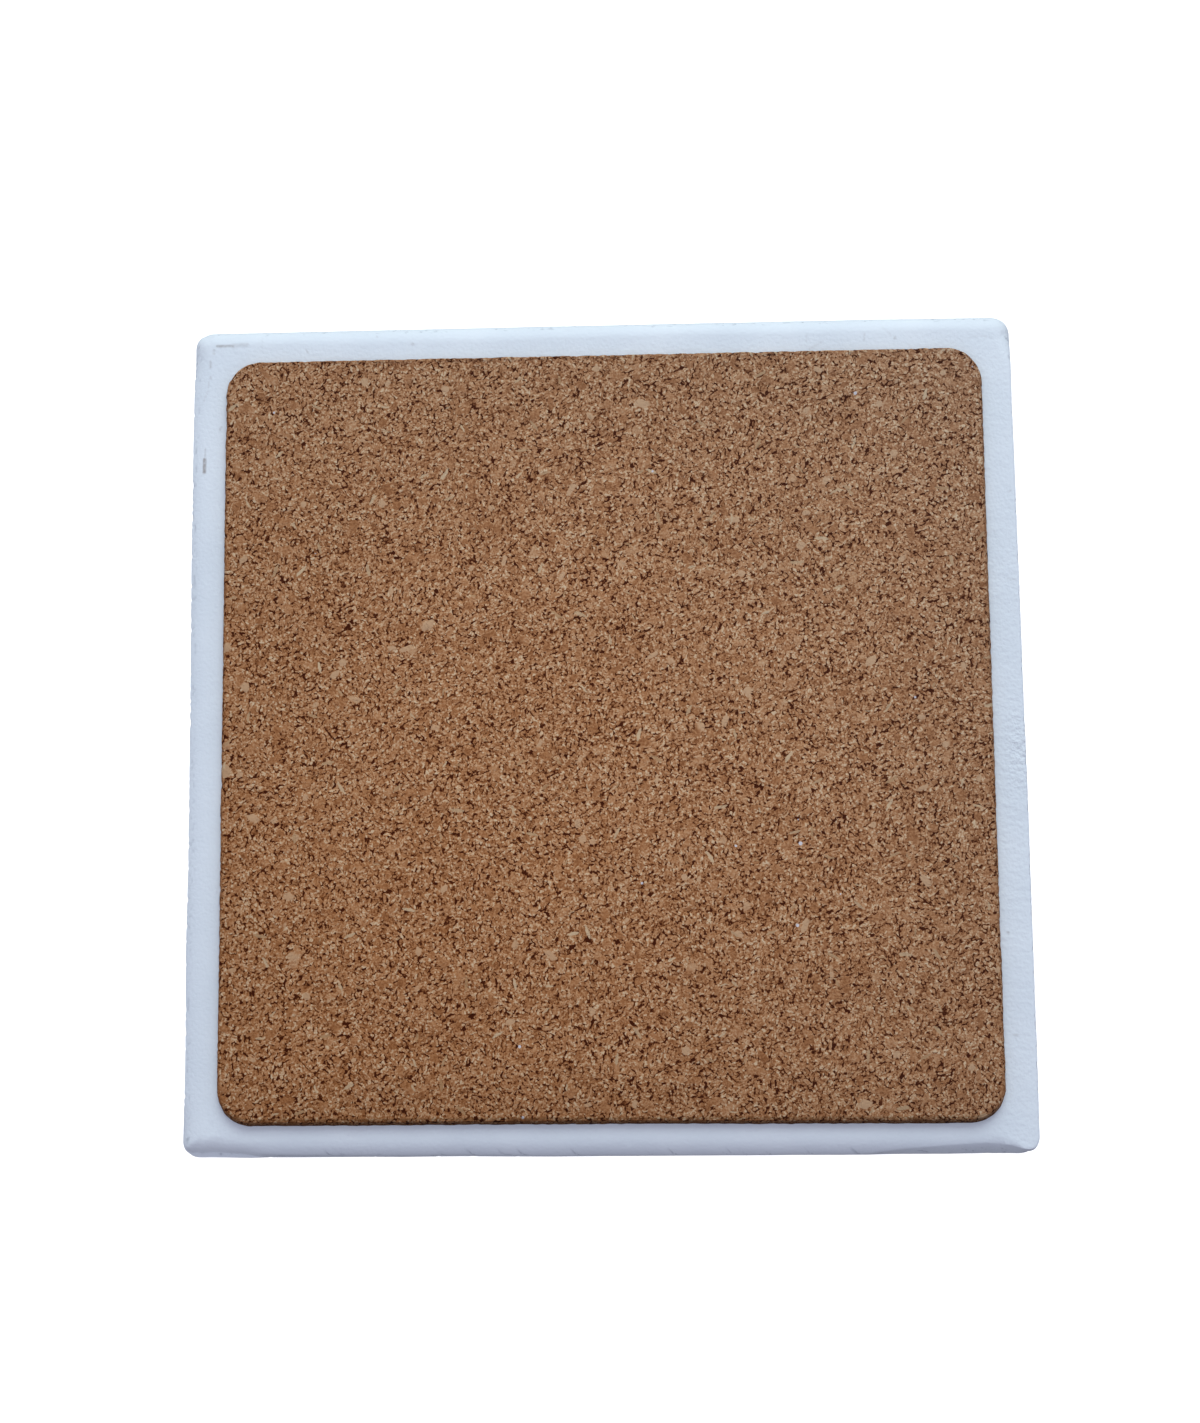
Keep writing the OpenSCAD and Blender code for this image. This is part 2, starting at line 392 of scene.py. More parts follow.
# Ceramic tile, replacing its CAD node. Sizes are in mm; the right edge is at +x and the far one at +y.
ceramicTile = {
    "cornerRadius": 2.2,
    "faceRounding": 1.5,
    "leastWall": 0.6,  # the side stays upright over at least this height
    "innerHalf": 45.0,  # the closing faces start here, under the film
    "alongStep": 0.21,
    "cornerSteps": 16,
    "flatSteps": 14,
    "backSteps": 20,
    "sideSteps": 4,
    "faceSteps": 7,
    # where one edge passes into the next: places along them, or how much the outline faces the near side
    "sideFade": (49.9, 42),
    "rightFade": (45.5, 50),
    "farFade": (44, 49.8),
    "nearFade": (0.4, 0.95),
    # the cork side's rounding: how far it comes in and goes down, and the shares of both on three edges
    "backReach": 2.7,
    "backDrop": 2.4,
    "shares": {"right": (0.16, 0.16), "far": (0.8, 0.75), "left": (0.85, 0.62)},
    "uneven": 0.08,  # share by which its reach varies
    "swell": ((-46.5, 1.1, 0.1), (-42.5, 1.6, -0.06)),  # and on the near edge: place, width and share
    # how far from finished the rounding is on the left and the right, where it ends at a sharp edge
    "unfinished": 0.22,
    "farSharp": 0.15,  # shares of that on the far edge and on the left corners
    "cornerSharp": 0.7,
    "cornerFade": (0.3, 0.9),
    # the near edge was sanded, most beside the right corner: places along it, and how far the cut comes in
    "facet": (
        (-50, 0.02), (-48.8, 0.5), (-47.5, 0.52), (-46.3, 0.6), (-44.5, 0.47), (-43, 0.5), (-40.7, 0.55),
        (-37, 0.45), (-31, 0.4), (-24, 0.35), (0, 0.2), (27, 0.18), (29.5, 0.2), (34, 0.8), (39.5, 1.25),
        (44.2, 1.55), (47, 1.2), (48.5, 0.7), (50, 0.02),
    ),
    "facetMost": 0.95,  # share of the rounding's reach
    "facetSlope": (3.6, 0.9),  # where the cut is short and where it is long
    "facetRange": (0.2, 1.6),
    "facetCurve": 0.85,
    "facetEnd": (49, 50),
    "bendShare": 0.3,  # where there is no facet, the rows gather at this share of the reach
    # by the left corner the cut is a lip that sticks out at the foot of the rounding instead
    "lipEnd": (-44.2, -39),
    "lipSlope": 0.1,
    "lipUnfinished": 0.015,
    # the sides are not quite straight: places along each, and how far it stands back from the square there
    "draw": {
        "right": (
            (-50, 0.33), (-44, 0.32), (-38, 0.27), (-32, 0.3), (-20, 0.29), (-12, 0.26), (-3, 0.28),
            (3, 0.35), (15, 0.36), (27, 0.42), (33, 0.44), (39, 0.51), (45, 0.45), (48, 0.36), (50, 0.32),
        ),
        "left": (
            (-50, 0.1), (-48, 0.12), (-45, 0.22), (-42, 0.33), (-37, 0.34), (-31, 0.29), (-25, 0.22),
            (-20, 0.29), (-14, 0.33), (4, 0.28), (10, 0.23), (16, 0.19), (23, 0.155), (35, 0.155),
            (41, 0.2), (45, 0.24), (48, 0.25), (50, 0.22),
        ),
        "far": ((-50, 0.04), (-48, 0.03), (-36, 0.0), (33, 0.0), (38, 0.05), (44, 0.09), (50, 0.12)),
        "near": (
            (-50, 0.15), (-49, 0.12), (-48, 0.27), (-46.7, 0.28), (-45, 0.25), (-42, 0.18), (-36, 0.17),
            (-30, 0.18), (-24, 0.15), (-18, 0.2), (-12, 0.15), (-6, 0.1), (0, 0.13), (22, 0.11), (34, 0.08),
            (40, 0.07), (46, 0.1), (50, 0.12),
        ),
    },
    "drawFade": (30, 47.5),
    "drawRim": 0.5,  # this much of the border moves with the side, and the rest is pressed together
    # cell and seed of each noise
    "noise": {
        "uneven": (9.0, 14), "wander": (5.0, 12), "grit": (1.1, 13), "pits": (0.45, 15),
        "patches": (13.0, 16), "ripple": (0.5, 17), "wrinkle": (0.45, 18),
    },
    "wave": 0.03,  # the outline wanders inwards by up to this
    "grit": 0.012,
    "gritSkew": 0.7,  # how fast the grit changes on the way down
    # pits sit along the left and right edges: what their noise gets there, on the right from near to far
    "pitLevel": -0.25,
    "pitLeft": 0.25,
    "pitRight": (0.35, 0.05),
    "pitRightFade": (25, 35),
    "pitRange": (0.35, 0.75),  # noise at which a pit starts and is complete
    "pitLean": (0.55, 0.8),  # share of the rounding where they start and are complete
    "pitDepth": (0.04, 0.1),  # elsewhere, and on the left
    "pitDust": (1.0, 0.3),
    # ripples across the right border, and wrinkles in one stretch of it
    "ripple": 0.05,
    "rippleFade": (43, 46),
    "rippleSlant": (0.22, 0.6),
    "wrinkle": 0.1,
    "wrinklePlace": -2.8,
    "wrinkleReach": 4.5,
    "wrinkleFade": (46.8, 48.4),
    "wrinkleSlant": ((0.6, 0.8), (0.6, -0.3)),
    "peel": 0.5,  # strength of the fine grain, and what ripples and wrinkles add to it
    "ripplePeel": 0.3,
    "wrinklePeel": 1.2,
    # rubbed marks: from, to, half-width and strength
    "scuffs": (
        ((-46.9, 47.95), (-45, 47.95), 0.16, 0.75), ((-45, 47.95), (-43.3, 48.1), 0.25, 0.3),
        ((-47.3, 47.5), (-47.35, 47), 0.1, 0.5), ((-47.72, 46), (-47.71, 45.3), 0.12, 0.55),
        ((-47.66, 44.1), (-47.66, 43.9), 0.1, 0.4), ((-47.9, 43.5), (-47.9, 42.8), 0.08, 0.3),
        ((-48, 42.3), (-48.5, 41.1), 0.1, 0.2), ((-48.2, 35.1), (-48.23, 33.9), 0.08, 0.5),
        ((-48.27, 33.8), (-48.3, 32.2), 0.2, 1), ((-46.3, 37.8), (-46.46, 37.4), 0.08, 0.5),
        ((-41.4, 48.9), (-41.4, 47.1), 0.05, 0.2), ((-35.9, 47.25), (-35.7, 46.9), 0.1, 0.4),
        ((-27.3, 48.8), (-27.3, 48.75), 0.1, 0.4), ((-22.9, 47.7), (-22.85, 47.75), 0.16, 0.45),
        ((25.05, 48), (25.03, 47), 0.05, 0.3), ((25.4, 46), (27, 47), 0.06, 0.35),
        ((32.05, 47.9), (32, 47), 0.06, 0.4), ((34.2, 48.6), (35.6, 47.2), 0.05, 0.25),
        ((35.7, 47.1), (35.72, 47.2), 0.15, 0.5), ((44.2, 46.9), (45.8, 47.25), 0.06, 0.2),
        ((45.8, 47.25), (47.4, 47), 0.06, 0.2), ((48.1, 17.33), (49.1, 17.32), 0.1, 0.3),
        ((48.7, 28), (48.72, 28), 0.13, 0.5), ((46.85, -24.4), (46.87, -24.4), 0.16, 0.6),
        ((47.26, -36.2), (47.3, -36.2), 0.16, 0.6), ((47.86, -23.8), (47.9, -23.8), 0.1, 0.4),
    ),
    "scuffSoftness": 0.1,
    # grains of grit that fired into the near edge: place, radius and height
    "grains": (
        (-42.3, -47.8, 0.2, 0.05), (-40.8, -47.7, 0.2, 0.06), (-38, -47.8, 0.18, 0.05),
        (-34.7, -48.4, 0.2, 0.06), (-32.9, -48.4, 0.2, 0.06), (-29.2, -48.8, 0.2, 0.06),
        (-25.3, -48.7, 0.22, 0.07), (2.3, -48.8, 0.3, 0.08), (6.5, -49.1, 0.22, 0.06),
        (25.3, -49.2, 0.22, 0.08), (45.9, -48.6, 0.3, 0.12),
    ),
}


# Outline of a square with rounded corners: centres of its rounding and outward normals, as complex numbers,
# anticlockwise from the near right corner
def tileOutline(spec, half):
    straight = half - spec["cornerRadius"]
    cornerSteps = spec["cornerSteps"]
    sideSteps = int(round(2 * straight / spec["alongStep"]))
    turn = np.linspace(0, np.pi / 2, cornerSteps, endpoint=False)
    run = np.linspace(-straight, straight, sideSteps, endpoint=False)
    centres = straight + 1j * np.concatenate([run, np.full(cornerSteps, straight)])
    normals = np.exp(1j * np.concatenate([np.zeros(sideSteps), turn]))
    quarter = np.array([1, 1j, -1, -1j])[:, None]
    return (quarter * centres).ravel(), (quarter * normals).ravel()


# How much each point of the outline belongs to each edge, from 0 to 1, fading out round the corners
def edgeWeights(spec, edge, normals):
    alongSide = smoothStep(*spec["sideFade"], np.abs(edge.imag))
    nearRight = smoothStep(*spec["rightFade"], edge.real)
    return {
        "right": np.where(edge.imag > 0, alongSide * (edge.real > 0), nearRight),
        "far": smoothStep(*spec["farFade"], edge.imag),
        "left": alongSide * (edge.real < 0),
        "near": smoothStep(*spec["nearFade"], -normals.imag),
    }


# A value along an edge, straight between the places where it is given
def alongEdge(places, way):
    return np.interp(way, *zip(*places))


# Rounding of the cork side: its reach, and rows of insets from the outline and of heights. It is a quarter
# ellipse, or its first part on a sharp edge. The facet cuts it at the bend, and falls from there by
# slope * past + curve * past^2. The lip falls by its own slope, and the ellipse above it ends at the bend.
def backRounding(spec, top, centres, edge, normals, on):
    reachShare, dropShare = [
        np.min([1 - (1 - share[which]) * on[side] for side, share in spec["shares"].items()], axis=0)
        for which in (0, 1)]
    uneven = 1 + spec["uneven"] * softNoise(centres.real, centres.imag, *spec["noise"]["uneven"])
    for place, width, share in spec["swell"]:
        uneven = uneven + on["near"] * share * np.exp(-((edge.real - place) / width) ** 2)
    reach = spec["backReach"] * reachShare * uneven
    drop = spec["backDrop"] * dropShare
    facet = on["near"] * (1 - smoothStep(*spec["facetEnd"], edge.real))
    lip = facet * (1 - smoothStep(*spec["lipEnd"], edge.real))
    facetReach = alongEdge(spec["facet"], edge.real)
    slope = between(spec["facetSlope"], smoothStep(*spec["facetRange"], facetReach))

    # rows gather at the bend
    facetBend = np.minimum(facetReach, spec["facetMost"] * reach)
    bend = (1 - facet) * spec["bendShare"] * reach + facet * facetBend
    halfSteps = spec["backSteps"] // 2
    rowsAbove = np.linspace(0, 1, halfSteps, endpoint=False)[:, None]
    rowsBelow = np.linspace(0, 1, halfSteps + 1)[:, None]
    spacing = (1 - facet) * (1 - rowsBelow) ** 2 + facet * (1 - rowsBelow ** 1.5)
    inset = np.concatenate([between((reach, bend), rowsAbove), bend * spacing])

    leftCorners = spec["cornerSharp"] * smoothStep(*spec["cornerFade"], -normals.real)
    sharp = np.max([on["left"], on["right"], spec["farSharp"] * on["far"], leftCorners], axis=0)
    finished = 1 - spec["unfinished"] * sharp * (1 - facet) - spec["lipUnfinished"] * lip
    ellipseEnd = lip * bend
    turned = finished * (1 - np.maximum(inset - ellipseEnd, 0) / (reach - ellipseEnd))
    z = top - drop * (1 - np.sqrt(np.maximum(1 - turned ** 2, 0)))
    past = np.maximum(bend - inset, 0)
    fall = (1 - lip) * past * (slope + spec["facetCurve"] * past) + lip * past * spec["lipSlope"]
    turnedAtBend = finished * (1 - (1 - lip) * bend / (reach - ellipseEnd))
    cut = top - drop * (1 - np.sqrt(1 - turnedAtBend ** 2)) - facet * fall
    z = np.where(inset < bend, np.minimum(z, cut), z)
    return reach, inset, np.maximum(z, spec["faceRounding"] + spec["leastWall"])


# Draws each side in by its own table, and presses the flat border together by as much
def drawSides(spec, x, y, pull):
    draw = spec["draw"]
    right, left, far, near = [smoothStep(*spec["drawFade"], way) for way in (x, -x, y, -y)]
    pullX = left * alongEdge(draw["left"], y) - right * alongEdge(draw["right"], y)
    pullY = near * alongEdge(draw["near"], x) - far * alongEdge(draw["far"], x)
    return x + pull * pullX, y + pull * pullY


# Distance from points to the straight line between two places
def distanceTo(x, y, start, stop):
    runX, runY = stop[0] - start[0], stop[1] - start[1]
    along = ((x - start[0]) * runX + (y - start[1]) * runY) / (runX ** 2 + runY ** 2)
    along = np.clip(along, 0, 1)
    return np.hypot(x - start[0] - along * runX, y - start[1] - along * runY)


# Moves the points in along the normals by waves, grit and pits, and those of the cork side down by grit,
# ripples and wrinkles and up by bell-shaped grains. Gives them with the fields that the ceramic reads.
def roughenTile(spec, x, y, z, lean, upper, normals, on):
    noise = spec["noise"]
    wander = noiseShare(x, y, *noise["wander"])
    grit = noiseShare(x, y + spec["gritSkew"] * z, *noise["grit"])
    onRight = on["right"] * between(spec["pitRight"], smoothStep(*spec["pitRightFade"], y))
    level = spec["pitLevel"] + spec["pitLeft"] * on["left"] + onRight
    pits = smoothStep(*spec["pitRange"], softNoise(x + z, y - z, *noise["pits"]) + level)
    pits = pits * smoothStep(*spec["pitLean"], lean) * upper
    inward = lean * (spec["wave"] * wander + spec["grit"] * grit)
    inward = inward + between(spec["pitDepth"], on["left"]) * pits
    x = x - normals.real * inward
    y = y - normals.imag * inward

    slant, draw = spec["rippleSlant"]
    ripple = noiseShare(y + slant * x, draw * x, *noise["ripple"])
    border = smoothStep(*spec["rippleFade"], x) * noiseShare(x, y, *noise["patches"])
    across, along = [turnX * x + turnY * y for turnX, turnY in spec["wrinkleSlant"]]
    wrinkle = noiseShare(across, along, *noise["wrinkle"])
    stretch = np.exp(-((y - spec["wrinklePlace"]) / spec["wrinkleReach"]) ** 2)
    stretch = stretch * smoothStep(*spec["wrinkleFade"], x)
    sink = spec["grit"] * grit * (1 - lean)
    sink = sink + spec["ripple"] * border * ripple + spec["wrinkle"] * stretch * wrinkle
    for grainX, grainY, size, height in spec["grains"]:
        sink = sink - height * np.exp(-((x - grainX) ** 2 + (y - grainY) ** 2) / size ** 2)
    z = z - np.where(upper, sink, 0)

    scuff = np.zeros(x.shape)
    soft = spec["scuffSoftness"]
    for start, stop, width, strength in spec["scuffs"]:
        outside = distanceTo(x, y, start, stop) - width
        scuff = np.maximum(scuff, strength * (1 - smoothStep(-soft, soft, outside)))
    fields = {
        "scuff": scuff * upper,
        "fleck": pits * between(spec["pitDust"], on["left"]),
        "peel": spec["peel"] + (spec["ripplePeel"] * border + spec["wrinklePeel"] * stretch) * upper,
    }
    return x, y, z, fields


# A profile carried round the outline: flat, down the cork side's rounding, straight down, in through a
# quarter circle, and flat again. The ring at an inset is the outline drawn in by it, with the corner radius
# falling off as radius * exp(-inset / radius), so that the corners stay round.
def buildTile(spec):
    half = tileHigh.x / mm
    top = tileHigh.z / mm
    radius, face = spec["cornerRadius"], spec["faceRounding"]
    inner = half - spec["innerHalf"]
    centres, normals = tileOutline(spec, half)
    edge = centres + radius * normals
    on = edgeWeights(spec, edge, normals)
    reach, back, backZ = backRounding(spec, top, centres, edge, normals, on)

    level = np.ones((1, len(centres)))
    flat = np.linspace(0, 1, spec["flatSteps"], endpoint=False)[:, None]
    side = np.linspace(0, 1, spec["sideSteps"] + 1)[1:-1, None]
    faceTurn = np.linspace(0, np.pi / 2, spec["faceSteps"] + 1)[:, None]
    inset = np.concatenate([
        between((inner, reach), flat), back, 0 * side * level,
        face * (1 - np.cos(faceTurn)) * level, inner * level])
    z = np.concatenate([
        top + 0 * flat * level, backZ, backZ[-1] * (1 - side) + face * side,
        face * (1 - np.sin(faceTurn)) * level, 0 * level])
    # 0 where the profile is flat, 1 where it is upright
    lean = np.concatenate([
        0 * flat * level, 1 - back / reach, 1 + 0 * side * level, np.cos(faceTurn) * level, 0 * level])
    upper = np.arange(len(z))[:, None] < len(flat) + len(back)
    ringRadius = radius * np.exp(-inset / radius)
    ring = centres * (half - inset - ringRadius) / (half - radius) + ringRadius * normals
    x, y = drawSides(spec, ring.real, ring.imag, 1 - smoothStep(spec["drawRim"], inner, inset))
    x, y, z, fields = roughenTile(spec, x, y, z, lean, upper, normals, on)
    points = np.stack([x, y, z], axis=-1).reshape(-1, 3)
    rows = np.arange(x.size).reshape(x.shape)
    return makePiece("tile_body", points, quadsBetween(rows), [rows[0], rows[-1][::-1]], fields, ceramic)


tileBody = buildTile(ceramicTile)
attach(tileBody, "root")
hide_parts("ceramic_tile")
print("tile:", len(tileBody.data.vertices), "points")

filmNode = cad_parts["adhesive_film"]
filmNode.data.materials.clear()
filmNode.data.materials.append(adhesive)
print("film: adhesive")


# Cork sheet, replacing its CAD node. Sizes are in mm.
corkSheet = {
    "steps": 288,  # squares along each side of the rest face
    "jitter": 0.09,  # its points stray by up to this
    "cornerRadius": 4.0,
    "flare": 0.3,
    "nearFlare": 0.1,  # more of it where the near edge is squeezed out
    "nearFade": (0.2, 0.9),  # how much a border faces the near side where that starts and is complete
    "rimRadius": 0.45,
    "rimSteps": 4,
    "sideSteps": 6,
    # how far the borders stand out: the near one at its left and right ends, the right one, the left one
    "nearDraw": (0.13, 0.31),
    "nearDrawTurn": (-10, 40),
    "rightDraw": 0.2,
    "leftDraw": -0.07,
    "drawFade": (25, 41),
    # cell and seed of each noise
    "noise": {
        "raggedFine": (0.7, 31), "raggedBroad": (2.3, 32), "missing": (0.36, 33), "patches": (1.3, 42),
        "pits": (0.42, 43), "hollows": (4.0, 44), "blotches": (7.0, 45), "darkness": (0.6, 46),
    },
    # the cut is ragged by up to this, and finely and broadly by these shares of it
    "ragged": 0.14,
    "raggedFine": 0.3,
    "raggedBroad": 0.2,
    "raggedSkew": (0.6, -0.8),  # how fast it changes on the way down
    "missing": 0.07,  # grains are missing along the border, but not on the near side
    "missingReach": 0.5,
    "missingRange": (-0.1, 0.8),  # noise at which one starts to go and is gone
    # relief of the rest face
    "granule": 0.8,
    "granuleSink": 0.03,
    "granuleTilt": 0.16,
    "creviceWidth": (0.02, 0.3),
    "creviceDepth": 0.06,
    "crevicePatches": (-0.3, 0.5),
    "pitDepth": 0.2,
    "pitRange": (0.5, 0.9),
    "hollowDepth": 0.03,
    "chips": {  # half-sizes, and the share of squares that have one
        "spacing": 1.9, "length": (0.4, 1.0), "width": (0.22, 0.5), "uneven": (0.78, 1.12), "share": 0.5,
    },
    "chipSoftness": 0.1,
    "chipFlatness": 0.8,
    "chipTone": (0.13, 0.43),
    "paleShare": 0.14,
    # pits get painted shade by depth, partly standing for darker binder, and the cut a fixed share of it
    "pitShade": (0.06, 0.36),  # depths at which a pit starts to look dark and is darkest
    "cutShade": 0.3,
    # brightness: of the middle, the painted shade it loses towards the edges and the near side, and
    # blotches
    "brightness": 1.02,
    "edgeShade": 0.1,
    "edgeShadeShape": (1.2, 0.8),
    "nearShade": 0.07,
    "nearShadeFade": (0.85, 1.0),
    "blotches": 0.02,
    # painted shade on the die-cut edge and the face's near rim, most of it on the near side
    "edgeDark": 0.69,  # how much darker the die-cut edge gets on its way down
    "edgeDarkShares": (0.15, 1.0),  # of that, on the other sides and on the near one
    "rimDark": 0.75,  # and on the near rim
    "darkStart": 0.1,
    "darkPower": 0.2,
    # painted sheen: the saturation falls, and the hue turns, towards the far right
    "saturation": 1.009,
    "sheenStrength": 0.033,
    "sheenCurve": 0.6,
    "seed": 20,
    "granuleSeed": 41,
    "chipSeed": 51,
}


# The squares about each point, up to so many away, with a seed at a random shift in each: the square's
# place in the tables, and the way from its seed to the point
def squaresAround(x, y, spacing, reach, shift):
    column = np.floor(x / spacing).astype(int)
    row = np.floor(y / spacing).astype(int)
    for i in range(-reach, reach + 1):
        for j in range(-reach, reach + 1):
            square = (column + i) % tableSize, (row + j) % tableSize
            dx = x - (column + i + shift[square][..., 0]) * spacing
            dy = y - (row + j + shift[square][..., 1]) * spacing
            yield square, dx, dy


# Nearest and second-nearest of seeds scattered one to a square: the two distances, the way from the
# nearest, and a random row of four numbers that belongs to it
def nearestGranule(x, y, spacing, seed):
    rng = np.random.default_rng(seed)
    shift = rng.uniform(0, 1, (tableSize, tableSize, 2))
    traits = rng.uniform(0, 1, (tableSize, tableSize, 4))
    first = np.full(x.shape, np.inf)
    second = np.full(x.shape, np.inf)
    way = np.zeros(x.shape + (2,))
    mine = np.zeros(x.shape + (4,))
    for square, dx, dy in squaresAround(x, y, spacing, 2, shift):
        reach = np.hypot(dx, dy)
        closer = reach < first
        second = np.where(closer, first, np.minimum(second, reach))
        first = np.where(closer, reach, first)
        way = np.where(closer[..., None], np.stack([dx, dy], axis=-1), way)
        mine = np.where(closer[..., None], traits[square], mine)
    return first, second, way, mine


# Chips are six-sided: a point's depth in one is its least distance inside the edges, whose own distances
# from the middle follow an ellipse. The chip that a point is deepest in gives it its traits.
def chipDepth(x, y, spec, seed):
    rng = np.random.default_rng(seed)
    shift = rng.uniform(0, 1, (tableSize, tableSize, 2))
    traits = rng.uniform(0, 1, (tableSize, tableSize, 6))
    uneven = rng.uniform(*spec["uneven"], (tableSize, tableSize, 6))
    noChip, leastDepth = -9.0, -2.0
    best = np.full(x.shape, noChip)
    mine = np.zeros(x.shape + (6,))
    for square, dx, dy in squaresAround(x, y, spec["spacing"], 1, shift):
        trait = traits[square]
        angle = trait[..., 0] * np.pi
        length = between(spec["length"], trait[..., 1] ** 2)
        width = between(spec["width"], trait[..., 2] ** 2)
        depth = np.full(x.shape, np.inf)
        for edge in range(6):
            facing = edge * np.pi / 3 + 0.5 * trait[..., 3]
            reach = np.hypot(length * np.cos(facing), width * np.sin(facing)) * uneven[square][..., edge]
            along = dx * np.cos(facing + angle) + dy * np.sin(facing + angle)
            depth = np.minimum(depth, reach - along)
        depth = np.where(trait[..., 4] < spec["share"], depth, noChip)
        deeper = depth > best
        best = np.where(deeper, depth, best)
        mine = np.where(deeper[..., None], trait, mine)
    return np.maximum(best, leastDepth), mine


# Profile of the cut: ways out and down from the flat face's border, round the pressed rim and leaning out
# to the foot, and how far below the rim each row is. The rim turns through 90 degrees less the lean, so it
# starts radius * tan(turn / 2) inside the sheet's edge.
def cutProfile(spec, thick):
    rim = spec["rimRadius"]
    fullTurn = math.pi / 2 - math.atan(spec["flare"] / thick)
    rimTangent = rim * math.tan(fullTurn / 2)
    turn = np.linspace(0, fullTurn, spec["rimSteps"] + 1)[1:]
    fall = np.linspace(0, 1, spec["sideSteps"] + 1)[1:]
    rimOut, rimDrop = rim * np.sin(turn), rim * (1 - np.cos(turn))
    out = np.concatenate([rimOut, between((rimOut[-1], rimTangent + spec["flare"]), fall)])
    drop = np.concatenate([rimDrop, between((rimDrop[-1], thick), fall)])
    below = np.concatenate([0 * rimOut, fall])
    return rimTangent, out[:, None], drop[:, None], below[:, None]


# The rest face: a square grid of points that stray, whose corner squares are squeezed into quarter discs by
# u = x sqrt(1 - y^2 / 2) and v = y sqrt(1 - x^2 / 2)
def corkFace(spec, straight, radius):
    half = straight + radius
    line = np.linspace(-half, half, spec["steps"] + 1)
    gridX, gridY = np.meshgrid(line, line)
    rng = np.random.default_rng(spec["seed"])
    stray = rng.uniform(-spec["jitter"], spec["jitter"], (2,) + gridX.shape)
    stray[:, [0, -1], :] = 0
    stray[:, :, [0, -1]] = 0
    gridX = gridX + stray[0]
    gridY = gridY + stray[1]
    cornerX, cornerY = [np.clip((np.abs(way) - straight) / radius, 0, 1) for way in (gridX, gridY)]
    inCorner = (cornerX > 0) & (cornerY > 0)
    discX = np.sign(gridX) * (straight + radius * cornerX * np.sqrt(1 - cornerY ** 2 / 2))
    discY = np.sign(gridY) * (straight + radius * cornerY * np.sqrt(1 - cornerX ** 2 / 2))
    return np.where(inCorner, discX, gridX), np.where(inCorner, discY, gridY)


# Way out from the straight-sided square inside a rounded one: its length, and its direction as x and y
def wayOut(x, y, straight):
    outX, outY = [np.sign(way) * np.maximum(np.abs(way) - straight, 0) for way in (x, y)]
    length = np.maximum(np.hypot(outX, outY), 1e-6)
    return length, outX / length, outY / length


# The cut is moved in by a fine and a broad noise
def raggedCut(spec, x, y, z, outX, outY):
    noise = spec["noise"]
    skewX, skewY = spec["raggedSkew"]
    fine = softNoise(x + skewX * z, y + skewY * z, *noise["raggedFine"])
    broad = softNoise(x, y, *noise["raggedBroad"])
    inward = spec["ragged"] * (0.5 + spec["raggedFine"] * fine + spec["raggedBroad"] * broad)
    return x - outX * inward, y - outY * inward


# Grains are missing along the border, where points move in by a fine noise, and the borders are drawn out
def placeBorders(spec, x, y, straight, radius):
    away, outX, outY = wayOut(x, y, straight)
    missing = smoothStep(*spec["missingRange"], softNoise(x, y, *spec["noise"]["missing"]))
    missing = missing * (1 - smoothStep(*spec["nearFade"], -outY))
    missing = spec["missing"] * missing * smoothStep(radius - spec["missingReach"], radius, away)
    x = x - missing * outX
    y = y - missing * outY
    nearDraw = between(spec["nearDraw"], smoothStep(*spec["nearDrawTurn"], x))
    right, left, near = [smoothStep(*spec["drawFade"], way) for way in (x, -x, -y)]
    return x + spec["rightDraw"] * right - spec["leftDraw"] * left, y - nearDraw * near


# How far the rest face lies below its plane: each granule is sunk and tilted by its own amount, with
# crevices between some of them, and there are pits and wide hollows; chips are flatter
def corkRelief(spec, x, y, chipEdge):
    noise = spec["noise"]
    soft = spec["chipSoftness"]
    inChip = smoothStep(-soft, soft, chipEdge)
    first, second, way, traits = nearestGranule(x, y, spec["granule"], spec["granuleSeed"])
    tilt = (traits[:, 1] - 0.5) * way[:, 0] + (traits[:, 2] - 0.5) * way[:, 1]
    gap = 1 - smoothStep(*spec["creviceWidth"], second - first)
    patchy = smoothStep(*spec["crevicePatches"], softNoise(x, y, *noise["patches"]))
    pits = smoothStep(*spec["pitRange"], softNoise(x, y, *noise["pits"]))
    sink = spec["granuleSink"] * traits[:, 0] + spec["granuleTilt"] * np.abs(tilt)
    sink = sink + spec["creviceDepth"] * gap * patchy
    sink = sink * (1 - spec["chipFlatness"] * inChip) + spec["pitDepth"] * pits * (1 - inChip)
    return sink + spec["hollowDepth"] * noiseShare(x, y, *noise["hollows"])


# Painted shade: the middle is brightest, and brightness falls off with the square of the way to each edge
# and towards the near side; blotches vary it at random
def faceShadeAndBlotches(spec, x, y, u, v):
    across, both = spec["edgeShadeShape"]
    worn = spec["brightness"] - spec["edgeShade"] * (u ** 2 + across * v ** 2 - both * u ** 2 * v ** 2)
    worn = worn + spec["blotches"] * softNoise(x, y, *spec["noise"]["blotches"])
    return worn - spec["nearShade"] * smoothStep(*spec["nearShadeFade"], -v)


